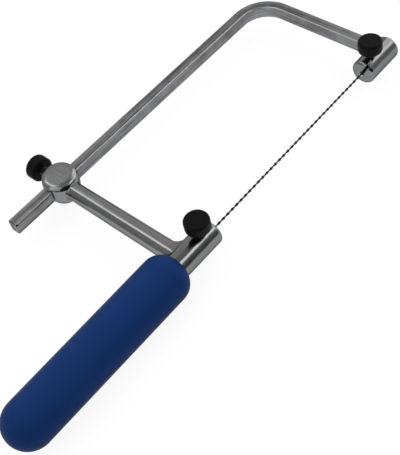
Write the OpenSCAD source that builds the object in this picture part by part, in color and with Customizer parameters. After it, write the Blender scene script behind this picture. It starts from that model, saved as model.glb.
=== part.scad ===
// Fret saw with an adjustable bow, a spiral blade and three thumb screws.
// X runs along the blade towards the nose, Y from the blade to the back bar, Z up off the bench.
// All lengths in millimetres.

/* [Bow] */
// Distance from the blade's line to the middle of the back bar
throat_depth = 70; // [50:1:110]
// Length of the back bar, from its tail to the front arm's middle
bar_run = 164.4; // [160:0.1:200]
// Bar size in the plane of the bow
bar_thick = 4.8; // [4:0.1:5.6]
// Bar size across the bow
bar_width = 6.1; // [5:0.1:7]
// Rounding of the bar's long edges
bar_edge_r = 0.6; // [0.3:0.1:1.2]
// Inside radius of the bend
bend_inner_r = 12.3; // [8:0.1:20]
// Chamfer round the cut tail end
bar_tail_chamfer = 0.55; // [0.1:0.05:0.6]

/* [Clamp head] */
// Largest radius of the head
head_r = 8; // [7.6:0.1:9]
// Height of the flat top over the middle of the bar
head_top = 5.9; // [5.2:0.1:7]
// Depth of the underside below the middle of the bar
head_bottom = 8; // [7:0.1:10]
// Height of the widest ring over the middle of the bar
head_wide_z = 0.9; // [0:0.1:2]
// Radius of the barrel-shaped side
head_side_r = 14; // [12:0.5:20]
// Rounding of the top rim
head_top_round = 1.2; // [0.3:0.1:1.2]
// Rounding of the bottom rim
head_bottom_round = 1.5; // [0.5:0.1:2]

/* [Lower arm] */
// Arm radius at the clamp head
arm_r_head = 4; // [3.2:0.1:4.4]
// Arm radius at the barrel
arm_r_barrel = 4.3; // [3.5:0.1:4.8]
// Radius of the flare where the arm meets the head
arm_flare_r = 6; // [3:0.5:10]
// How much the flare widens the arm at the head
arm_flare_rise = 1.6; // [0.6:0.1:2]
// Inside radius of the fillet that runs from the arm into the barrel
arm_fillet_r = 4; // [2:0.5:6]
// How far the fillet's tube lies inside the arm and barrel skins
arm_fillet_sink = 0.15; // [0.05:0.05:0.3]

/* [Handle barrel and tang] */
// Radius of the handle-side barrel
barrel_r = 5.63; // [5.2:0.01:6.5]
// How far the barrel stands out in front of the arm's middle
barrel_reach = 17.8; // [16:0.1:22]
// Rounding of the barrel's front end
barrel_round = 1.8; // [0.8:0.1:2.4]
// How far the barrel runs back into the handle
barrel_back = 18; // [10:0.5:25]
// Radius of the tang inside the handle
tang_r = 3.5; // [2.5:0.1:4.5]
// How far the tang reaches behind the arm's middle
tang_reach = 64; // [60:0.5:80]
// Radius of the hole that the blade lies in
blade_bore_r = 1.1; // [1:0.05:1.5]
// How far the blade hole reaches behind the arm's middle
blade_bore_back = 58; // [54:0.5:60]

/* [Handle] */
// Overall length of the grip
handle_len = 90.5; // [82:0.1:130]
// Gap from the arm's middle to the front of the grip
handle_front_gap = 3.1; // [2:0.1:3.5]
// Grip radius at the front
handle_r_front = 10.45; // [9:0.05:14]
// Grip radius at the butt
handle_r_butt = 10.12; // [9:0.05:14]
// Radius of the rounded front shoulder
handle_nose_r = 8.3; // [5:0.1:8.6]

/* [Front barrel] */
// Radius of the front barrel
nose_r = 5.63; // [5.2:0.01:6.5]
// Barrel length inboard of the front arm's middle
nose_inboard = 15.7; // [14:0.1:20]
// Barrel length outboard of the front arm's middle
nose_outboard = 5; // [4:0.1:10]
// Rounding of both barrel ends
nose_round = 1.6; // [0.8:0.1:2.4]
// Width of the slot that the blade drops into
kerf_w = 1.5; // [1.2:0.1:2]
// Length of the slot
kerf_len = 4.2; // [2:0.1:5]
// Slot direction, turned from straight up towards the user
kerf_turn = 27; // [0:1:90]
// Depth of the blade hole outboard of the blade's end
nose_bore_spare = 1.5; // [0.5:0.1:2.5]
// How deep the bow's end is let into the barrel, left over the barrel's axis
bow_seat_y = 2.6; // [2:0.1:3.5]

/* [Saw blade] */
// Overall length of the blade
blade_len = 130; // [110:0.5:140]
// Gap from the lower arm's middle to the blade's rear end
blade_rear_gap = 0.3; // [0.1:0.1:2]
// Gap from the blade's front end to the front arm's middle
blade_front_gap = 5.7; // [5:0.1:6]
// Blade width over the teeth
blade_w = 1.35; // [1:0.05:1.6]
// Blade thickness
blade_t = 0.5; // [0.3:0.05:0.6]
// Length of blade in each half turn of the twist
half_turn_len = 2.82; // [2:0.02:5]
// Length from one tooth to the next
tooth_pitch = 0.94; // [0.7:0.02:1.4]
// Depth of a tooth
tooth_depth = 0.2; // [0.1:0.02:0.3]
// Length of the flat rear end
flat_rear = 15; // [14:0.1:16]
// Length of the flat front end
flat_front = 8; // [7:0.1:9]

/* [Thumb screws] */
// Radius of the moulded heads over the two barrels
knob_r = 5.35; // [4.5:0.05:7]
// Radius of the moulded head behind the clamp head
rear_knob_r = 5.6; // [4.5:0.05:7]
// Height of each moulded head
knob_h = 5.5; // [3.5:0.1:7]
// Rounding of the head's rims
knob_round = 1.1; // [0.3:0.1:1.2]
// Number of fine flutes round each head
knob_flutes = 28; // [12:1:36]
// Depth of the flutes
knob_flute_depth = 0.15; // [0.05:0.01:0.3]
// Radius of the steel studs
stud_r = 2; // [1.5:0.1:2.5]
// Stud length left showing over the two barrels
neck_barrel = 3.1; // [2:0.1:6]
// Stud length left showing behind the clamp head
neck_rear = 3.6; // [3:0.1:8]
// Height of the rear screw over the middle of the bar
rear_screw_rise = 0.9; // [0:0.1:1.2]
// How deep the stud reaches into its moulded head
stud_in_knob = 3.4; // [2:0.1:3.8]
// Distance from the arm's middle forward to the handle-side screw
handle_screw_x = 10.8; // [9:0.1:12]
// Distance from the front arm's middle back to the front screw
front_screw_back = 9.5; // [9:0.1:10]
// Length of the cone at each stud's tip
stud_tip = 0.6; // [0.3:0.1:1]
// Radius of the flat at each stud's tip
stud_tip_r = 1.4; // [0.8:0.1:1.8]

/* [Fits] */
// Radial clearance of a stud in its threaded hole
thread_fit = 0.05; // [0.02:0.01:0.1]
// Radial clearance of a stud in its moulded head
knob_fit = 0.03; // [0.02:0.01:0.1]
// Clearance round the bar in the clamp head
bar_slip = 0.1; // [0.05:0.01:0.3]
// Clearance of the barrel and tang in the grip
grip_fit = 0.05; // [0.02:0.01:0.2]
// Clearance of the bow's end in the front barrel
seat_fit = 0.05; // [0.02:0.01:0.2]
// Gap from a stud's tip to what it presses on
tip_gap = 0.08; // [0.05:0.01:0.3]
// Gap at the end of a blind hole
blind_gap = 0.3; // [0.1:0.05:1]

/* [Hidden] */
$fn = 96;

// One overrun for every cut
over = 1;
// How far a rim's rounding stands proud of the head's side where the two arcs meet
rim_proud = 0.005;

// The bow slides in the head until the blade fits, which sets how much bar stands out behind
bow_length = blade_rear_gap + blade_len + blade_front_gap;
bar_tail = bar_run - bow_length;

// Places along X, from the lower arm's middle
handle_front_x = -handle_front_gap;
handle_butt_x = handle_front_x - handle_len;
nose_in_x = bow_length - nose_inboard;
nose_out_x = bow_length + nose_outboard;
front_screw_x = bow_length - front_screw_back;
blade_rear_x = blade_rear_gap;
blade_front_x = blade_rear_x + blade_len;
twist_start_x = blade_rear_x + flat_rear;
twist_end_x = blade_front_x - flat_front;

// Knobs
knob_base_barrel = barrel_r + neck_barrel;
knob_base_nose = nose_r + neck_barrel;
knob_base_rear = head_r + neck_rear;
// A flute is an arc as wide as half the spacing of the flutes
function flute_r(r) =
    (pow(PI * r / knob_flutes / 2, 2) + pow(knob_flute_depth, 2)) / (2 * knob_flute_depth);

// The part's box, which sets its origin at the middle of the underside
handle_r_max = max(handle_r_front, handle_r_butt);
y_low = -handle_r_max;
y_high = throat_depth + knob_base_rear + knob_h;
shift = [-(handle_butt_x + nose_out_x) / 2, -(y_low + y_high) / 2, handle_r_max];

// Bend
bend_r = bend_inner_r + bar_thick / 2;

// Side profile of the clamp head: a wide arc with a small rounding at each rim
head_arc_x = head_r - head_side_r;
// A rim's centre lies on the arc that runs one rim rounding inside the side, a hair proud of it
function rim_centre(z, r) = [head_arc_x + sqrt(pow(head_side_r - r + rim_proud, 2) - pow(z - head_wide_z, 2)), z];
function blend_z(c, r) = c[1] + r * (c[1] - head_wide_z) / (head_side_r - r + rim_proud);
top_c = rim_centre(head_top - head_top_round, head_top_round);
bot_c = rim_centre(head_bottom_round - head_bottom, head_bottom_round);
top_blend_z = blend_z(top_c, head_top_round);
bot_blend_z = blend_z(bot_c, head_bottom_round);

// Flare of the arm at the head: the concave arc starts on the arm and ends inside the head
flare_end_y = throat_depth - sqrt(pow(head_r, 2) - pow(arm_r_head + arm_flare_rise, 2)) + arm_flare_rise / 2;
flare_start_y = flare_end_y - sqrt(pow(arm_flare_r, 2) - pow(arm_flare_r - arm_flare_rise, 2));
flare_c_r = arm_r_head + arm_flare_r;

// Fillet between the arm and the barrel: a quarter bend of round tube
elbow_tube_r = arm_r_barrel - arm_fillet_sink;
elbow_r = elbow_tube_r + arm_fillet_r;
elbow_y = barrel_r - arm_fillet_sink - elbow_tube_r + elbow_r;

// Grip
butt_c_x = handle_butt_x + handle_r_butt;
shoulder_c_x = handle_front_x - handle_nose_r;
shoulder_c_r = handle_r_front - handle_nose_r;

// Blade rings
half_turns = round((twist_end_x - twist_start_x) / half_turn_len);
steps_per_tooth = 4;
teeth = round((twist_end_x - twist_start_x) / tooth_pitch);
twist_steps = teeth * steps_per_tooth;
tooth_shares = [0, 0.35, 0.7, 1];
body_share = 0.55;

module along_x() {
    rotate([0, 90, 0]) children();
}

module along_y() {
    rotate([-90, 0, 0]) children();
}

// Rod with rounded rims, standing on the XY plane along Z
module rounded_rod(r, h, round_low, round_high) {
    rotate_extrude() {
        translate([0, round_low]) square([r, h - round_low - round_high]);
        square([r - round_low, h - round_high]);
        translate([0, round_low]) square([r - round_high, h - round_low]);
        if (round_low > 0) translate([r - round_low, round_low]) circle(r = round_low);
        translate([r - round_high, h - round_high]) circle(r = round_high);
    }
}

// Cross-section of the bow bar: X is across the bow's plane, Y along the bar's width
module bar_section(grow) {
    w = bar_thick + 2 * grow;
    h = bar_width + 2 * grow;
    e = bar_edge_r;
    square([w - 2 * e, h], center = true);
    square([w, h - 2 * e], center = true);
    for (i = [-1, 1], j = [-1, 1]) translate([i * (w / 2 - e), j * (h / 2 - e)]) circle(r = e);
}

module bow_solid() {
    // back bar with its tail
    translate([-bar_tail, throat_depth, 0])
        along_x() rotate([0, 0, 90]) linear_extrude(height = bar_tail + bow_length - bend_r) bar_section(0);
    // bend
    translate([bow_length - bend_r, throat_depth - bend_r, 0])
        rotate_extrude(angle = 90) translate([bend_r, 0]) bar_section(0);
    // front arm
    translate([bow_length, bow_seat_y + seat_fit, 0])
        along_y() linear_extrude(height = throat_depth - bend_r - bow_seat_y - seat_fit) bar_section(0);
}

module bow_bar() {
    color("#8e9094") translate(shift) difference() {
        bow_solid();
        // broken edges round the cut tail end
        for (s = [-1, 1]) {
            translate([-bar_tail, throat_depth + s * bar_thick / 2, 0]) rotate([0, 0, 45])
                cube([bar_tail_chamfer, bar_tail_chamfer, bar_width + 2 * over] * sqrt(2), center = true);
            translate([-bar_tail, throat_depth, s * bar_width / 2]) rotate([0, 45, 0])
                cube([bar_tail_chamfer, bar_thick + 2 * over, bar_tail_chamfer] * sqrt(2), center = true);
        }
    }
}

module front_barrel() {
    color("#9a9ca0") translate(shift) difference() {
        translate([nose_in_x, 0, 0]) along_x()
            rounded_rod(nose_r, nose_outboard + nose_inboard, nose_round, nose_round);
        // blade hole
        translate([nose_in_x - over, 0, 0]) along_x()
            cylinder(r = blade_bore_r, h = blade_front_x + nose_bore_spare - nose_in_x + over);
        // slot for dropping the blade in
        translate([nose_in_x, 0, 0]) rotate([kerf_turn, 0, 0])
            translate([-over, -kerf_w / 2, 0]) cube([kerf_len + over, kerf_w, nose_r + over]);
        // threaded hole
        translate([front_screw_x, 0, 0]) cylinder(r = stud_r + thread_fit, h = nose_r + over);
        // socket for the end of the bow
        translate([bow_length, bow_seat_y, 0])
            along_y() linear_extrude(height = nose_r + over) bar_section(seat_fit);
    }
}

// Half profile of the clamp head, radius along X and height along Y
module head_profile() {
    polygon([[0, -head_bottom], [bot_c[0], -head_bottom], bot_c, top_c, [top_c[0], head_top], [0, head_top]]);
    translate(top_c) circle(r = head_top_round);
    translate(bot_c) circle(r = head_bottom_round);
    intersection() {
        translate([head_arc_x, head_wide_z]) circle(r = head_side_r);
        translate([0, bot_blend_z]) square([head_r, top_blend_z - bot_blend_z]);
    }
}

module head_solid() {
    translate([0, throat_depth, 0]) rotate_extrude() head_profile();
}

module arm_solid() {
    // tapered round arm
    along_y() cylinder(r1 = arm_r_barrel, r2 = arm_r_head, h = flare_start_y);
    // flare into the head
    along_y() rotate_extrude() difference() {
        translate([0, flare_start_y]) square([arm_r_head + arm_flare_rise, throat_depth - flare_start_y]);
        intersection() {
            translate([flare_c_r, flare_start_y]) circle(r = arm_flare_r);
            translate([0, flare_start_y - over]) square([flare_c_r, flare_end_y - flare_start_y + over]);
        }
    }
    // fillet into the barrel, on the blade's side
    translate([elbow_r, elbow_y, 0]) rotate([0, 0, 180]) rotate_extrude(angle = 90)
        translate([elbow_r, 0]) circle(r = elbow_tube_r);
}

module arm_casting() {
    color("#b4b6ba") translate(shift) difference() {
        union() {
            head_solid();
            arm_solid();
            translate([-barrel_back, 0, 0]) along_x()
                rounded_rod(barrel_r, barrel_back + barrel_reach, 0, barrel_round);
            translate([-tang_reach, 0, 0]) along_x() cylinder(r = tang_r, h = tang_reach);
        }
        // slot through the head for the bow bar
        translate([-head_r - over, throat_depth, 0]) along_x()
            rotate([0, 0, 90]) linear_extrude(height = 2 * (head_r + over)) bar_section(bar_slip);
        // threaded hole for the rear screw
        translate([0, throat_depth, rear_screw_rise]) along_y()
            cylinder(r = stud_r + thread_fit, h = head_r + over);
        // blade hole
        translate([-blade_bore_back, 0, 0]) along_x()
            cylinder(r = blade_bore_r, h = blade_bore_back + barrel_reach + over);
        // threaded hole for the blade screw
        translate([handle_screw_x, 0, 0]) cylinder(r = stud_r + thread_fit, h = barrel_r + over);
    }
}

module handle_grip() {
    color("#1f4f93") translate(shift) difference() {
        along_x() rotate_extrude() {
            polygon([[0, butt_c_x], [handle_r_butt, butt_c_x], [handle_r_front, shoulder_c_x],
                [shoulder_c_r, shoulder_c_x + handle_nose_r], [0, shoulder_c_x + handle_nose_r]]);
            intersection() {
                translate([0, butt_c_x]) circle(r = handle_r_butt);
                translate([0, butt_c_x - handle_r_butt]) square([handle_r_butt, handle_r_butt]);
            }
            intersection() {
                translate([shoulder_c_r, shoulder_c_x]) circle(r = handle_nose_r);
                translate([shoulder_c_r, shoulder_c_x]) square([handle_nose_r, handle_nose_r]);
            }
        }
        // seat of the barrel
        translate([-barrel_back - blind_gap, 0, 0]) along_x()
            cylinder(r = barrel_r + grip_fit, h = barrel_back + blind_gap + over);
        // hole for the tang
        translate([-tang_reach - blind_gap, 0, 0]) along_x()
            cylinder(r = tang_r + grip_fit, h = tang_reach);
        // hollow round the foot of the arm
        along_y() cylinder(r = arm_r_barrel + grip_fit, h = handle_r_max + over);
    }
}

// Distance of a tooth's edge from the middle of the blade, at one step along it
function tooth_r(i) = blade_w / 2 - tooth_depth * (1 - tooth_shares[i % steps_per_tooth]);

// One ring of the blade: place along X, turn about X, and the half width there
function blade_ring(x, turn, r) = [for (p = [
    [r, 0],
    [r * body_share, blade_t / 2],
    [-r * body_share, blade_t / 2],
    [-r, 0],
    [-r * body_share, -blade_t / 2],
    [r * body_share, -blade_t / 2]
]) [x, p[0] * cos(turn) - p[1] * sin(turn), p[0] * sin(turn) + p[1] * cos(turn)]];

module saw_blade() {
    twist_len = twist_end_x - twist_start_x;
    rings = concat(
        [blade_ring(blade_rear_x, 0, blade_w / 2)],
        [for (i = [0 : twist_steps]) blade_ring(twist_start_x + twist_len * i / twist_steps,
            180 * half_turns * i / twist_steps, tooth_r(i))],
        [blade_ring(blade_front_x, 180 * half_turns, blade_w / 2)]
    );
    n = len(rings);
    k = len(rings[0]);
    color("#55575a") translate(shift) polyhedron(
        points = [for (ring = rings) for (p = ring) p],
        faces = concat(
            [[for (j = [0 : k - 1]) j]],
            [for (i = [0 : n - 2]) for (j = [0 : k - 1])
                [i * k + j, (i + 1) * k + j, (i + 1) * k + (j + 1) % k]],
            [for (i = [0 : n - 2]) for (j = [0 : k - 1])
                [i * k + j, (i + 1) * k + (j + 1) % k, i * k + (j + 1) % k]],
            [[for (j = [k - 1 : -1 : 0]) (n - 1) * k + j]]
        ),
        convexity = 10
    );
}

// Stud along Z with its coned tip at the bottom, from one height to another
module stud(from, to) {
    translate([0, 0, from]) cylinder(r1 = stud_tip_r, r2 = stud_r, h = stud_tip);
    translate([0, 0, from + stud_tip]) cylinder(r = stud_r, h = to - from - stud_tip);
}

// Moulded head along Z, standing on its underside, with the stud's blind hole
module knob(r) {
    difference() {
        rounded_rod(r, knob_h, knob_round, knob_round);
        translate([0, 0, -over]) cylinder(r = stud_r + knob_fit, h = stud_in_knob + blind_gap + over);
        for (i = [0 : knob_flutes - 1]) rotate([0, 0, 360 * i / knob_flutes])
            translate([r + flute_r(r) - knob_flute_depth, 0, -over])
                cylinder(r = flute_r(r), h = knob_h + 2 * over, $fn = 24);
    }
}

module on_handle_screw() {
    translate(shift) translate([handle_screw_x, 0, 0]) children();
}

module on_front_screw() {
    translate(shift) translate([front_screw_x, 0, 0]) children();
}

module on_rear_screw() {
    translate(shift) translate([0, throat_depth, rear_screw_rise]) along_y() children();
}

module rear_screw() {
    color("#7d7f83") on_rear_screw() stud(bar_thick / 2 + tip_gap, knob_base_rear + stud_in_knob);
}

module rear_knob() {
    color("#1d1d1d") on_rear_screw() translate([0, 0, knob_base_rear]) knob(rear_knob_r);
}

module front_screw() {
    color("#7d7f83") on_front_screw() stud(blade_t / 2 + tip_gap, knob_base_nose + stud_in_knob);
}

module front_knob() {
    color("#1d1d1d") on_front_screw() translate([0, 0, knob_base_nose]) knob(knob_r);
}

// This stud is backed off until it clears the twisted blade, which then passes under it
module handle_screw() {
    color("#7d7f83") on_handle_screw() stud(blade_w / 2 + tip_gap, knob_base_barrel + stud_in_knob);
}

module handle_knob() {
    color("#1d1d1d") on_handle_screw() translate([0, 0, knob_base_barrel]) knob(knob_r);
}

bow_bar();
front_barrel();
arm_casting();
handle_grip();
saw_blade();
rear_screw();
rear_knob();
front_screw();
front_knob();
handle_screw();
handle_knob();
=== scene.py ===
import math

import bmesh
import bpy
from mathutils import Euler, Matrix, Vector


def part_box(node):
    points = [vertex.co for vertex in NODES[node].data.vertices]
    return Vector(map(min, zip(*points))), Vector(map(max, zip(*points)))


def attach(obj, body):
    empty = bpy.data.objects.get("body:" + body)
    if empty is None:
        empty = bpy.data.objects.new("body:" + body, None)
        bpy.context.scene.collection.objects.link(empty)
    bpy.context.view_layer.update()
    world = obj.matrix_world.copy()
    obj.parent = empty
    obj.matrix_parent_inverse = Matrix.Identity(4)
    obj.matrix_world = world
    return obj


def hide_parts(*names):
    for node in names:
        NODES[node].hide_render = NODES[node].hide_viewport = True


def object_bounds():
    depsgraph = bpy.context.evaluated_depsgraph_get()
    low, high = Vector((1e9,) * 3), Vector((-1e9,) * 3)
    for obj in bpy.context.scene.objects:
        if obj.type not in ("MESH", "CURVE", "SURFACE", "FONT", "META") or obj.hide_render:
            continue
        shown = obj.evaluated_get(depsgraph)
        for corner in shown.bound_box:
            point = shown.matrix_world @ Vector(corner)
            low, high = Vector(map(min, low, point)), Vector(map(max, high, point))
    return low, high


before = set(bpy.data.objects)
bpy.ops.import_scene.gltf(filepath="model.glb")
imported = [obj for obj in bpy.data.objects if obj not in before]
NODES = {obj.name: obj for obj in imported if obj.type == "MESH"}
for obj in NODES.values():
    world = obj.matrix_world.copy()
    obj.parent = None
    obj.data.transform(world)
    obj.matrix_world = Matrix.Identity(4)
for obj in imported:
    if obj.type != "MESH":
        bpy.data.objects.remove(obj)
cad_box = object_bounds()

# Lengths are in metres in the CAD frame: X along the blade to the nose, Y to the back bar, Z up.
MM = 0.001

# Where the arm's middle crosses the blade's line
BLADE_REAR_GAP = 0.3 * MM
blade_low, blade_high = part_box("saw_blade")
blade_middle = (blade_low + blade_high) / 2
ARM_FOOT = Vector((blade_low.x - BLADE_REAR_GAP, blade_middle.y, blade_middle.z))

# The photograph's camera, placed from that point
CAMERA_PLACE = ARM_FOOT + Vector((-0.1139431, -0.1619892, 0.2707571))
CAMERA_TURN_DEG = (37.06207, 8.91026, -49.38695)
CAMERA_LENS_MM = 68.62
CAMERA_CLIP = (0.01, 20.0)
SENSOR_MM = 36.0

# Lamps that face straight down: strips for the blade, the nose and the arm, and a panel for the bar's tail
LAMP_HEIGHT = 0.62
BLADE_STRIP = {"middle": (0.31, -0.42), "size": (0.4, 0.27), "radiance": 2.6}
NOSE_STRIP = {"middle": (0.76, -0.42), "size": (0.5, 0.36), "radiance": 0.8}
ARM_STRIP = {"middle": (-0.14, 0.45), "size": (0.2, 0.6), "radiance": 1.9}
TAIL_PANEL = {"middle": (0.06, 0.62), "size": (0.24, 0.3), "radiance": 0.8}
# Two broad soft boxes that face the saw from its sides
RIGHT_BOX = {"place": Vector((1.15, -0.1, 0.65)), "size": 1.2, "radiance": 1.22}
LEFT_BOX = {"place": Vector((-1.0, -0.1, 0.9)), "size": 1.4, "radiance": 0.87}

# Level of the room behind the saw and at its sides, the share of it that is left round the camera, and
# between which directions each changes: 1 is straight to the camera's side and -1 straight away from it
ROOM_BACK_LEVEL = 0.74
ROOM_SIDE_LEVEL = 0.36
ROOM_SIDE_FACING = (-1.0, -0.1)
ROOM_CAMERA_SHARE = 0.04
ROOM_CAMERA_FACING = (0.33, 0.66)
ROOM_TINT = (1.0, 0.995, 0.96, 1.0)
# Clutter in the room: its noise pattern, the middle of that pattern, and how far it changes the level
CLUTTER = (4.5, 2.0, 0.5)
CLUTTER_MIDDLE = (0.35, 0.65)
CLUTTER_LEVEL = (0.8, 1.2)

FLOOR_SIZE = 8.0
FLOOR_CELLS = 4
FLOOR_DROP = 0.2 * MM
# The floor's grey as it lights the saw from below
FLOOR_GREY = 0.8
# The floor glows a little more far out, where the lamps do not reach
FLOOR_FADE = (0.3, 1.2)
FLOOR_GLOW = (0.89, 0.985)
# The grey that takes the lamps' light and the saw's shadow on top of that glow
FLOOR_SHADOW_GREY = 0.16

# Sizes that part.scad also names, and the bend's outer radius
BAR_THICK = 4.8 * MM
BAR_EDGE = 0.6 * MM
BEND_INNER_RADIUS = 12.3 * MM
BEND_RADIUS = BEND_INNER_RADIUS + BAR_THICK
THROAT = 70 * MM
HEAD_RADIUS = 8 * MM
BARREL_RADIUS = 5.63 * MM
KERF_WIDTH = 1.5 * MM
KERF_LENGTH = 4.2 * MM
KERF_TURN_DEG = 27.0
STUD_TIP = 0.6 * MM
STUD_TIP_RADIUS = 1.4 * MM

# A soft shoulder on the clamp head: where it starts on the top and on the side, and its radius
SHOULDER_TOP_START = 5.0 * MM
SHOULDER_SIDE_START = 2.2 * MM
SHOULDER_RADIUS = 3.6 * MM
# How far past the head's radius the casting still counts as the head
HEAD_SLACK = 0.1 * MM

# Walls of the slot in the nose, which get a painted highlight: how far past its sides they reach, and how
# far below the blade's line
KERF_SLACK = 0.02 * MM
KERF_DEPTH = 1.6 * MM

# A small dark mark near the bar's cut end, the share of it that is fully dark, and the dark drawn line
# that runs on from it below the bar's rounded edge
MARK_PLACE = Vector((-27.6, 67.6, 2.45)) * MM
MARK_RADIUS = 0.65 * MM
MARK_CORE = 0.6
LINE_WIDTH = 0.8 * MM
LINE_SHARE = 0.65
# The bar's cut end is partly bare, as deep as this
CUT_END_DEPTH = 0.3 * MM
CUT_END_SHARE = 0.4

# One turn of the studs' thread as a profile: share of the pitch, and depth below the crest
THREAD_PITCH = 0.7 * MM
THREAD_DEPTH = 0.42 * MM
THREAD_FLAT = 0.125
THREAD_SLOPE = 0.5 - THREAD_FLAT
THREAD_PROFILE = ((0.0, 0.0), (THREAD_FLAT, 0.0), (THREAD_FLAT + THREAD_SLOPE, THREAD_DEPTH),
                  (2 * THREAD_FLAT + THREAD_SLOPE, THREAD_DEPTH))
THREAD_STEPS = 40
THREAD_SPARE_TURNS = 2
# Tolerances of the cuts across its ends
CUT_WELD = 1e-7
CUT_REACH = 1e-6

# Noise patterns: scale per metre, or a scale for each axis, then detail and roughness
BAR_FINE_LINES = ((4200, 4200, 50), 3.0, 0.6)
BAR_BROAD_LINES = ((1300, 1300, 24), 2.0, 0.5)
BAR_CLOUD = (160, 3.0, 0.5)
CASTING_WAVE = (260, 1.0, 0.4)
CASTING_CLOUD = (120, 3.0, 0.5)
CASTING_HAZE = (2600, 3.0, 0.6)
CASTING_STREAKS_ALONG_X = ((45, 1100, 1100), 1.0, 0.5)
CASTING_STREAKS_ALONG_Y = ((1100, 45, 1100), 1.0, 0.5)
GRIP_GRAIN = (5200, 2.0, 0.6)
GRIP_CLOUD = ((55, 90, 90), 3.0, 0.5)
GRIP_RUBBED = ((260, 900, 900), 4.0, 0.65)
KNOB_GRAIN = (4200, 3.0, 0.6)
KNOB_CLOUD = (380, 3.0, 0.5)
BLADE_FLECK = (3000, 3.0, 0.6)
STUD_FLECK = (2600, 3.0, 0.6)
# Most of a noise pattern lies between these
NOISE_MIDDLE = (0.3, 0.7)

# Roughness of each finish, from its smoothest spots to its dullest
BAR_ROUGHNESS = (0.24, 0.4)
CASTING_ROUGHNESS = (0.12, 0.24)
KERF_ROUGHNESS = 0.5
GRIP_ROUGHNESS = (0.5, 0.62)
KNOB_ROUGHNESS = (0.4, 0.55)
BLADE_ROUGHNESS = (0.24, 0.4)
STUD_ROUGHNESS = (0.25, 0.42)
PLASTIC_SHINE = 0.07

# Depth of each finish's relief, and how strongly it shows
GRAIN_DEPTH = 0.02 * MM
FLECK_DEPTH = 0.01 * MM
BAR_RELIEF = 0.5
GRIP_RELIEF = 0.35
KNOB_RELIEF = 0.4
FLECK_RELIEF = 0.4
# Relief of the castings, in millimetres
WAVE_HEIGHT = 0.07
STREAK_HEIGHT = 0.035
HAZE_HEIGHT = 0.006


def srgb(r, g, b):
    """Linear colour of an 8-bit screen colour."""
    def linear(c):
        c /= 255.0
        return c / 12.92 if c <= 0.04045 else ((c + 0.055) / 1.055) ** 2.4
    return (linear(r), linear(g), linear(b), 1.0)


def grey(level):
    """Linear colour of a grey."""
    return (level, level, level, 1.0)


# Chrome: drawn on the bar and polished on the castings, bare where the bar is cut, with a painted highlight
# on the bar's long edges and on the walls of the slot in the nose
BAR_DARK = (0.112, 0.113, 0.118, 1.0)
BAR_LIGHT = (0.285, 0.288, 0.298, 1.0)
CASTING_DARK = (0.216, 0.219, 0.226, 1.0)
CASTING_LIGHT = (0.277, 0.28, 0.288, 1.0)
EDGE_HIGHLIGHT_AND_BARE_METAL = grey(0.5)
# Painted highlight on the walls of the slot in the nose
KERF_PAINTED_HIGHLIGHT = grey(0.9)
MARK_BLACK = grey(0.004)
# Tint of all chrome where it is seen at a flat angle
CHROME_EDGE = grey(0.35)
# The barrels have painted shade that makes them darker than the arm and the head, and the change is this
# long each way
BARREL_SHADE_SHARE = 0.85
BARREL_BLEND = 2 * MM
# Share of the fine lines among the bar's lines, of the lines in its tone, and the tone's middle
BAR_FINE_SHARE = 0.5
BAR_LINES_SHARE = 0.8
BAR_TONE_MIDDLE = (0.42, 0.58)

# Plastics. The grip has painted shade towards its rim: a share of black, which grows between two values of
# Facing.
GRIP_DARK = srgb(16, 51, 110)
GRIP_LIGHT = srgb(22, 58, 119)
GRIP_RIM_PAINTED_SHADE = grey(0.0)
GRIP_RIM_SHADE_FACING = (0.35, 0.8)
GRIP_RIM_SHADE_SHARE = 0.3
FACING_BLEND = 0.5
KNOB_DARK = grey(0.004)
KNOB_LIGHT = grey(0.0075)

# Steel. The blade is worn bright towards its teeth, from one share of its reach to another.
BLADE_DARK = grey(0.03)
BLADE_WORN = grey(0.22)
BLADE_WORN_REACH = (0.75, 0.95)
STUD_DARK = grey(0.03)
STUD_LIGHT = grey(0.09)


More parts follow.
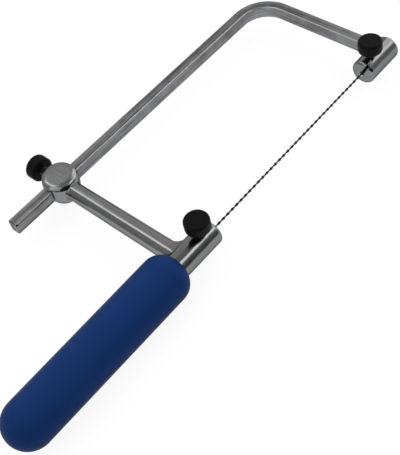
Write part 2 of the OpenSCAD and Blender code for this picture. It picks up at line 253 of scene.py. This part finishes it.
class Nodes:
    """A short way to write a node tree."""

    def __init__(self, tree):
        self.tree = tree
        tree.nodes.clear()

    def add(self, kind, inputs=None, **settings):
        """A node with its settings made and its inputs fed."""
        made = self.tree.nodes.new(kind)
        for key, value in settings.items():
            setattr(made, key, value)
        for key, value in (inputs or {}).items():
            self.feed(made.inputs[key], value)
        return made

    def feed(self, socket, value):
        """Links another node's output to the socket, or sets a plain value."""
        if isinstance(value, bpy.types.NodeSocket):
            self.tree.links.new(value, socket)
        else:
            socket.default_value = value

    def maths(self, operation, a, b=0.0):
        """Maths on one or two numbers."""
        return self.add("ShaderNodeMath", {0: a, 1: b}, operation=operation).outputs[0]

    def plus(self, a, b):
        return self.maths("ADD", a, b)

    def minus(self, a, b):
        return self.maths("SUBTRACT", a, b)

    def times(self, a, b):
        return self.maths("MULTIPLY", a, b)

    def larger(self, a, b):
        return self.maths("MAXIMUM", a, b)

    def distance(self, a, b):
        """How far apart two values are."""
        return self.maths("ABSOLUTE", self.minus(a, b))

    def length(self, a, b):
        """Length of the vector with these two parts."""
        return self.maths("SQRT", self.plus(self.times(a, a), self.times(b, b)))

    def average(self, a, b, share):
        """That share of a, and the rest of b."""
        return self.plus(self.times(a, share), self.times(b, 1.0 - share))

    def vector(self, operation, a, b=(0.0, 0.0, 0.0)):
        """Vector maths with a vector as its result."""
        return self.add("ShaderNodeVectorMath", {0: a, 1: b}, operation=operation).outputs["Vector"]

    def measure(self, operation, a, b=(0.0, 0.0, 0.0)):
        """Vector maths with a number as its result."""
        return self.add("ShaderNodeVectorMath", {0: a, 1: b}, operation=operation).outputs["Value"]

    def noise(self, vector, scale, detail, roughness):
        """A noise pattern, drawn out where each axis has its own scale."""
        if isinstance(scale, tuple):
            vector = self.vector("MULTIPLY", vector, scale)
            scale = 1.0
        made = self.add("ShaderNodeTexNoise",
                        {"Vector": vector, "Scale": scale, "Detail": detail, "Roughness": roughness})
        return made.outputs["Fac"]

    def spread(self, value, low, high, to_low, to_high):
        """The value, carried over from one range to another and kept inside it."""
        made = self.add("ShaderNodeMapRange", {
            "Value": value, "From Min": low, "From Max": high, "To Min": to_low, "To Max": to_high})
        return made.outputs["Result"]

    def mask(self, value, low, high):
        """0 up to low and 1 from high on."""
        return self.spread(value, low, high, 0.0, 1.0)

    def blend(self, factor, a, b):
        """A number between two others."""
        return self.add("ShaderNodeMix", {0: factor, 2: a, 3: b}).outputs[0]

    def tint(self, factor, dark, light):
        """A colour between two others, whose sockets come after those for numbers and vectors."""
        made = self.add("ShaderNodeMix", data_type="RGBA")
        self.feed(made.inputs[0], factor)
        self.feed(made.inputs[6], dark)
        self.feed(made.inputs[7], light)
        return made.outputs[2]

    def bump(self, height, distance, strength=1.0):
        """The normal of a surface with that relief."""
        made = self.add("ShaderNodeBump", {"Height": height, "Distance": distance, "Strength": strength})
        return made.outputs["Normal"]

    def surface(self, **inputs):
        """The principled shader and the material's output."""
        named = {key.replace("_", " "): value for key, value in inputs.items()}
        shader = self.add("ShaderNodeBsdfPrincipled", named)
        self.add("ShaderNodeOutputMaterial", {"Surface": shader.outputs[0]})


def new_material(name):
    """An empty material, with its node tree to write."""
    made = bpy.data.materials.new(name)
    made.use_nodes = True
    return made, Nodes(made.node_tree)


def object_place(n):
    """Coordinates in the CAD frame, which ride with the body."""
    return n.add("ShaderNodeTexCoord").outputs["Object"]


def dark_spots(n, place, x, from_side, from_middle, half):
    """Share of black: full on the mark near the bar's cut end, less on the tail's drawn line, or 0."""
    away = n.measure("DISTANCE", place, tuple(ARM_FOOT + MARK_PLACE))
    mark = n.spread(away, MARK_CORE * MARK_RADIUS, MARK_RADIUS, 1.0, 0.0)
    off_line = n.distance(from_middle, half - BAR_EDGE - LINE_WIDTH / 2)
    line = n.spread(off_line, LINE_WIDTH / 4, LINE_WIDTH / 2, LINE_SHARE, 0.0)
    on_tail = n.maths("LESS_THAN", x, ARM_FOOT.x - HEAD_RADIUS)
    on_side = n.maths("GREATER_THAN", from_side, BAR_THICK / 2 - BAR_EDGE / 2)
    return n.larger(mark, n.times(n.times(line, on_tail), on_side))


def bar_chrome():
    """Dull drawn chrome: fine lines that follow the bar round its bend."""
    made, n = new_material("bar_chrome")
    place = object_place(n)
    x, y, z = n.add("ShaderNodeSeparateXYZ", {0: place}).outputs
    low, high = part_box("bow_bar")
    # across the bow from the bend's middle, and along the bar
    past_x = n.larger(n.minus(x, high.x - BEND_RADIUS), 0.0)
    past_y = n.larger(n.minus(y, high.y - BEND_RADIUS), 0.0)
    across = n.length(past_x, past_y)
    drawn = n.add("ShaderNodeCombineXYZ", {0: across, 1: z, 2: n.minus(x, y)}).outputs[0]
    lines = n.average(n.noise(drawn, *BAR_FINE_LINES), n.noise(drawn, *BAR_BROAD_LINES), BAR_FINE_SHARE)
    tone = n.average(lines, n.noise(place, *BAR_CLOUD), BAR_LINES_SHARE)
    plain = n.tint(n.mask(tone, *BAR_TONE_MIDDLE), BAR_DARK, BAR_LIGHT)
    # painted highlight along the long rounded edges, in the colour of bare metal
    half = (high.z - low.z) / 2
    from_side = n.distance(across, BEND_RADIUS - BAR_THICK / 2)
    from_middle = n.distance(z, (low.z + high.z) / 2)
    side_edge = n.mask(from_side, BAR_THICK / 2 - BAR_EDGE, BAR_THICK / 2 - BAR_EDGE / 3)
    top_edge = n.mask(from_middle, half - BAR_EDGE, half - BAR_EDGE / 3)
    rubbed = n.times(side_edge, top_edge)
    cut_end = n.maths("LESS_THAN", x, low.x + CUT_END_DEPTH)
    # Painted highlight on the long edges, and bare metal partly over the cut end
    colour = n.tint(n.larger(rubbed, n.times(cut_end, CUT_END_SHARE)), plain, EDGE_HIGHLIGHT_AND_BARE_METAL)
    colour = n.tint(dark_spots(n, place, x, from_side, from_middle, half), colour, MARK_BLACK)
    relief = n.times(lines, n.minus(1.0, rubbed))
    n.surface(Base_Color=colour, Metallic=1.0, Roughness=n.spread(tone, *NOISE_MIDDLE, *BAR_ROUGHNESS),
              Specular_Tint=CHROME_EDGE, Normal=n.bump(relief, GRAIN_DEPTH, BAR_RELIEF))
    return made


def kerf_highlight_walls(n, place):
    """Where the painted highlight goes: 1 on the walls of the slot that the blade drops into, and 0
    elsewhere.
    """
    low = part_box("front_barrel")[0]
    turn = math.radians(KERF_TURN_DEG)
    offset = n.vector("SUBTRACT", place, (low.x, ARM_FOOT.y, ARM_FOOT.z))
    inward = n.measure("DOT_PRODUCT", offset, (1.0, 0.0, 0.0))
    aside = n.measure("DOT_PRODUCT", offset, (0.0, math.cos(turn), math.sin(turn)))
    up = n.measure("DOT_PRODUCT", offset, (0.0, -math.sin(turn), math.cos(turn)))
    inside = n.maths("LESS_THAN", n.maths("ABSOLUTE", aside), KERF_WIDTH / 2 + KERF_SLACK)
    near = n.maths("LESS_THAN", inward, KERF_LENGTH + KERF_SLACK)
    above = n.maths("GREATER_THAN", up, -KERF_DEPTH)
    return n.times(n.times(inside, near), above)


def soft_shoulder(n, x, y, z):
    """How far the clamp head's skin falls away towards its top rim, in millimetres."""
    radius = n.length(n.minus(x, ARM_FOOT.x), n.minus(y, ARM_FOOT.y + THROAT))
    on_head = n.maths("LESS_THAN", radius, HEAD_RADIUS + HEAD_SLACK)
    drop = 0.0
    for reach, start in ((radius, SHOULDER_TOP_START), (n.minus(z, ARM_FOOT.z), SHOULDER_SIDE_START)):
        past = n.larger(n.minus(reach, start), 0.0)
        drop = n.plus(n.times(n.times(past, past), 1 / (2 * SHOULDER_RADIUS * MM)), drop)
    return n.times(drop, on_head)


def casting_chrome(name, slotted):
    """Polished chrome over a slightly wavy casting, with streaks left by the polishing wheel."""
    made, n = new_material(name)
    place = object_place(n)
    x, y, z = n.add("ShaderNodeSeparateXYZ", {0: place}).outputs
    haze = n.noise(place, *CASTING_HAZE)
    arm_start = ARM_FOOT.y + BARREL_RADIUS
    on_arm = n.mask(y, arm_start - BARREL_BLEND, arm_start + BARREL_BLEND)
    streaks = n.blend(on_arm, n.noise(place, *CASTING_STREAKS_ALONG_X),
                      n.noise(place, *CASTING_STREAKS_ALONG_Y))
    height = n.plus(n.times(n.noise(place, *CASTING_WAVE), WAVE_HEIGHT), n.times(streaks, STREAK_HEIGHT))
    height = n.plus(height, n.times(haze, HAZE_HEIGHT))
    colour = n.tint(n.noise(place, *CASTING_CLOUD), CASTING_DARK, CASTING_LIGHT)
    # Painted shade on the barrels: their chrome is darker than the arm's and the head's
    share = n.spread(y, arm_start - BARREL_BLEND, arm_start + BARREL_BLEND, BARREL_SHADE_SHARE, 1.0)
    colour = n.add("ShaderNodeVectorMath", {0: colour, 3: share}, operation="SCALE").outputs[0]
    roughness = n.spread(haze, *NOISE_MIDDLE, *CASTING_ROUGHNESS)
    if slotted:
        cut = kerf_highlight_walls(n, place)
        # Painted highlight: the slot's walls are near-white metal
        colour = n.tint(cut, colour, KERF_PAINTED_HIGHLIGHT)
        roughness = n.larger(roughness, n.times(cut, KERF_ROUGHNESS))
    else:
        height = n.minus(height, soft_shoulder(n, x, y, z))
    n.surface(Base_Color=colour, Metallic=1.0, Roughness=roughness, Specular_Tint=CHROME_EDGE,
              Normal=n.bump(height, MM))
    return made


def grip_plastic():
    """Satin blue moulded plastic with a very fine grain, faint handling marks, and painted shade towards
    its rim.
    """
    made, n = new_material("grip_blue")
    place = object_place(n)
    facing = n.add("ShaderNodeLayerWeight", {"Blend": FACING_BLEND}).outputs["Facing"]
    # Painted shade: a share of black that grows towards the grip's rim
    rim = n.spread(facing, *GRIP_RIM_SHADE_FACING, 0.0, GRIP_RIM_SHADE_SHARE)
    blue = n.tint(n.noise(place, *GRIP_CLOUD), GRIP_DARK, GRIP_LIGHT)
    rubbed = n.noise(place, *GRIP_RUBBED)
    n.surface(Base_Color=n.tint(rim, blue, GRIP_RIM_PAINTED_SHADE),
              Roughness=n.spread(rubbed, *NOISE_MIDDLE, *GRIP_ROUGHNESS), Specular_IOR_Level=PLASTIC_SHINE,
              Normal=n.bump(n.noise(place, *GRIP_GRAIN), GRAIN_DEPTH, GRIP_RELIEF))
    return made


def knob_plastic():
    """Black moulded plastic with a fine grain."""
    made, n = new_material("knob_black")
    place = object_place(n)
    grain = n.noise(place, *KNOB_GRAIN)
    n.surface(Base_Color=n.tint(n.noise(place, *KNOB_CLOUD), KNOB_DARK, KNOB_LIGHT),
              Roughness=n.spread(grain, *NOISE_MIDDLE, *KNOB_ROUGHNESS), Specular_IOR_Level=PLASTIC_SHINE,
              Normal=n.bump(grain, GRAIN_DEPTH, KNOB_RELIEF))
    return made


def blade_steel():
    """Hardened steel, blued dark, worn a little on the teeth."""
    made, n = new_material("blade_steel")
    place = object_place(n)
    low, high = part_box("saw_blade")
    reach = (high.z - low.z) / 2
    offset = n.vector("SUBTRACT", place, tuple(ARM_FOOT))
    away = n.measure("LENGTH", n.vector("MULTIPLY", offset, (0.0, 1.0, 1.0)))
    teeth = n.mask(away, *(share * reach for share in BLADE_WORN_REACH))
    fleck = n.noise(place, *BLADE_FLECK)
    n.surface(Base_Color=n.tint(n.times(teeth, fleck), BLADE_DARK, BLADE_WORN), Metallic=1.0,
              Roughness=n.spread(fleck, *NOISE_MIDDLE, *BLADE_ROUGHNESS),
              Normal=n.bump(fleck, FLECK_DEPTH, FLECK_RELIEF))
    return made


def stud_steel():
    """Oiled dark steel of the thumb screws' threads."""
    made, n = new_material("stud_steel")
    fleck = n.noise(object_place(n), *STUD_FLECK)
    n.surface(Base_Color=n.tint(fleck, STUD_DARK, STUD_LIGHT), Metallic=1.0,
              Roughness=n.spread(fleck, *NOISE_MIDDLE, *STUD_ROUGHNESS),
              Normal=n.bump(fleck, FLECK_DEPTH, FLECK_RELIEF))
    return made


def thread_rings(bm, radius, length):
    """Rings of a thread that climb one pitch in a turn, held inside the cone of the stud's tip."""
    rings = []
    for turn in range(math.ceil(length / THREAD_PITCH) + THREAD_SPARE_TURNS):
        for share, depth in THREAD_PROFILE:
            ring = []
            for step in range(THREAD_STEPS):
                angle = 2 * math.pi * step / THREAD_STEPS
                z = THREAD_PITCH * (turn + share - THREAD_SPARE_TURNS + step / THREAD_STEPS)
                cone = STUD_TIP_RADIUS + max(z, 0.0) * (radius - STUD_TIP_RADIUS) / STUD_TIP
                r = min(radius - depth, cone)
                ring.append(bm.verts.new((r * math.cos(angle), r * math.sin(angle), z)))
            rings.append(ring)
    return rings


def thread_skin(bm, rings):
    """Faces between the rings. The end of each turn meets the start of the next one."""
    per_turn = len(THREAD_PROFILE)
    for j in range(len(rings) - 1):
        for i in range(THREAD_STEPS):
            if i + 1 < THREAD_STEPS:
                corners = (rings[j][i], rings[j][i + 1], rings[j + 1][i + 1], rings[j + 1][i])
            elif j + per_turn + 1 < len(rings):
                corners = (rings[j][i], rings[j + per_turn][0], rings[j + per_turn + 1][0], rings[j + 1][i])
            else:
                continue
            bm.faces.new(corners)


def level_end(bm, height, outward):
    """Cuts the thread off level at that height, and closes it there."""
    bmesh.ops.bisect_plane(bm, geom=bm.verts[:] + bm.edges[:] + bm.faces[:], dist=CUT_WELD,
                           plane_co=(0, 0, height), plane_no=(0, 0, outward), clear_outer=True)
    rim = [e for e in bm.edges
           if e.is_boundary and all(abs(v.co.z - height) < CUT_REACH for v in e.verts)]
    bmesh.ops.holes_fill(bm, edges=rim, sides=0)


def threaded_stud(name, node, up, material):
    """A stud with a real helical thread, coned at its tip, in the place of the plain CAD stud."""
    low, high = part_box(node)
    axis = "xyz".index(up)
    length = high[axis] - low[axis]
    radius = min((high - low)[i] for i in range(3) if i != axis) / 2
    foot = (low + high) / 2
    foot[axis] = low[axis]
    bm = bmesh.new()
    thread_skin(bm, thread_rings(bm, radius, length))
    level_end(bm, 0.0, -1.0)
    level_end(bm, length, 1.0)
    bmesh.ops.recalc_face_normals(bm, faces=bm.faces[:])
    mesh = bpy.data.meshes.new(name)
    bm.to_mesh(mesh)
    bm.free()
    turn_up = Euler((-math.pi / 2, 0, 0)).to_matrix().to_4x4() if up == "y" else Matrix.Identity(4)
    mesh.transform(Matrix.Translation(foot) @ turn_up)
    mesh.materials.append(material)
    stud = bpy.data.objects.new(name, mesh)
    bpy.context.scene.collection.objects.link(stud)
    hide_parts(node)
    return stud


def paint(node, material):
    """Gives a CAD node its material."""
    for slot in NODES[node].material_slots:
        slot.material = material


def white_where_seen(n, plain, white):
    """The white shader for camera, glossy and transmission rays, and the plain one for the rest."""
    path = n.add("ShaderNodeLightPath")
    seen = n.larger(path.outputs["Is Camera Ray"], path.outputs["Is Glossy Ray"])
    seen = n.larger(seen, path.outputs["Is Transmission Ray"])
    return n.add("ShaderNodeMixShader", {0: seen, 1: plain, 2: white}).outputs[0]


def build_floor():
    """Plain pale floor, which shows white and keeps a soft shadow."""
    bm = bmesh.new()
    bmesh.ops.create_grid(bm, x_segments=FLOOR_CELLS, y_segments=FLOOR_CELLS, size=FLOOR_SIZE / 2)
    mesh = bpy.data.meshes.new("floor")
    bm.to_mesh(mesh)
    bm.free()
    floor = bpy.data.objects.new("floor", mesh)
    floor.location.z = cad_box[0].z - FLOOR_DROP
    bpy.context.scene.collection.objects.link(floor)
    made, n = new_material("floor_white")
    plain = n.add("ShaderNodeBsdfDiffuse", {"Color": grey(FLOOR_GREY)}).outputs[0]
    away = n.measure("LENGTH", object_place(n))
    level = n.spread(away, *FLOOR_FADE, *FLOOR_GLOW)
    glow = n.add("ShaderNodeEmission", {"Color": grey(1.0), "Strength": level}).outputs[0]
    thin = n.add("ShaderNodeBsdfDiffuse", {"Color": grey(FLOOR_SHADOW_GREY)}).outputs[0]
    white = n.add("ShaderNodeAddShader", {0: glow, 1: thin}).outputs[0]
    n.add("ShaderNodeOutputMaterial", {"Surface": white_where_seen(n, plain, white)})
    mesh.materials.append(made)


def build_world():
    """A grey room, dark low down on the camera's side, seen white by the camera."""
    world = bpy.data.worlds.new("room")
    bpy.context.scene.world = world
    world.use_nodes = True
    n = Nodes(world.node_tree)
    heading = n.add("ShaderNodeTexCoord").outputs["Generated"]
    toward = Vector((CAMERA_PLACE.x, CAMERA_PLACE.y, 0)).normalized()
    facing = n.measure("DOT_PRODUCT", heading, tuple(toward))
    level = n.spread(facing, *ROOM_SIDE_FACING, ROOM_BACK_LEVEL, ROOM_SIDE_LEVEL)
    shade = n.spread(facing, *ROOM_CAMERA_FACING, 1.0, ROOM_CAMERA_SHARE)
    clutter = n.spread(n.noise(heading, *CLUTTER), *CLUTTER_MIDDLE, *CLUTTER_LEVEL)
    level = n.times(n.times(level, shade), clutter)
    room = n.add("ShaderNodeBackground", {"Color": ROOM_TINT, "Strength": level}).outputs[0]
    white = n.add("ShaderNodeBackground", {"Color": grey(1.0), "Strength": 1.0}).outputs[0]
    path = n.add("ShaderNodeLightPath")
    both = n.add("ShaderNodeMixShader", {0: path.outputs["Is Camera Ray"], 1: room, 2: white}).outputs[0]
    n.add("ShaderNodeOutputWorld", {"Surface": both})


def soft_lamp(name, place, turn, width, length, radiance):
    """A rectangular soft lamp whose face has that radiance."""
    data = bpy.data.lights.new(name, "AREA")
    data.shape = "RECTANGLE"
    data.size = width
    data.size_y = length
    data.energy = radiance * math.pi * width * length
    lamp = bpy.data.objects.new(name, data)
    lamp.location = place
    lamp.rotation_euler = turn
    bpy.context.scene.collection.objects.link(lamp)


def build_lamps():
    """The lamps that face straight down, and the two soft boxes that face the saw."""
    for name, strip in (("blade_strip", BLADE_STRIP), ("nose_strip", NOSE_STRIP),
                        ("arm_strip", ARM_STRIP), ("tail_panel", TAIL_PANEL)):
        soft_lamp(name, Vector((*strip["middle"], LAMP_HEIGHT)), Euler(), *strip["size"], strip["radiance"])
    for name, box in (("right_box", RIGHT_BOX), ("left_box", LEFT_BOX)):
        aim = (-box["place"]).to_track_quat("-Z", "Y").to_euler()
        soft_lamp(name, box["place"], aim, box["size"], box["size"], box["radiance"])


def build_camera():
    """The camera that took the photograph."""
    data = bpy.data.cameras.new("camera")
    data.sensor_width = SENSOR_MM
    data.lens = CAMERA_LENS_MM
    data.clip_start, data.clip_end = CAMERA_CLIP
    camera = bpy.data.objects.new("camera", data)
    camera.location = CAMERA_PLACE
    camera.rotation_euler = Euler(tuple(math.radians(a) for a in CAMERA_TURN_DEG))
    bpy.context.scene.collection.objects.link(camera)
    bpy.context.scene.camera = camera


def build_saw():
    """Finishes for the CAD nodes, and the threaded studs."""
    paint("bow_bar", bar_chrome())
    paint("front_barrel", casting_chrome("nose_chrome", True))
    paint("arm_casting", casting_chrome("casting_chrome", False))
    paint("handle_grip", grip_plastic())
    paint("saw_blade", blade_steel())
    black = knob_plastic()
    steel = stud_steel()
    for side, up in (("rear", "y"), ("front", "z"), ("handle", "z")):
        paint(side + "_knob", black)
        stud = threaded_stud(side + "_thread", side + "_screw", up, steel)
        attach(stud, side + "_stud")


build_camera()
build_world()
build_floor()
build_lamps()
build_saw()

bpy.context.scene.view_settings.view_transform = "Standard"
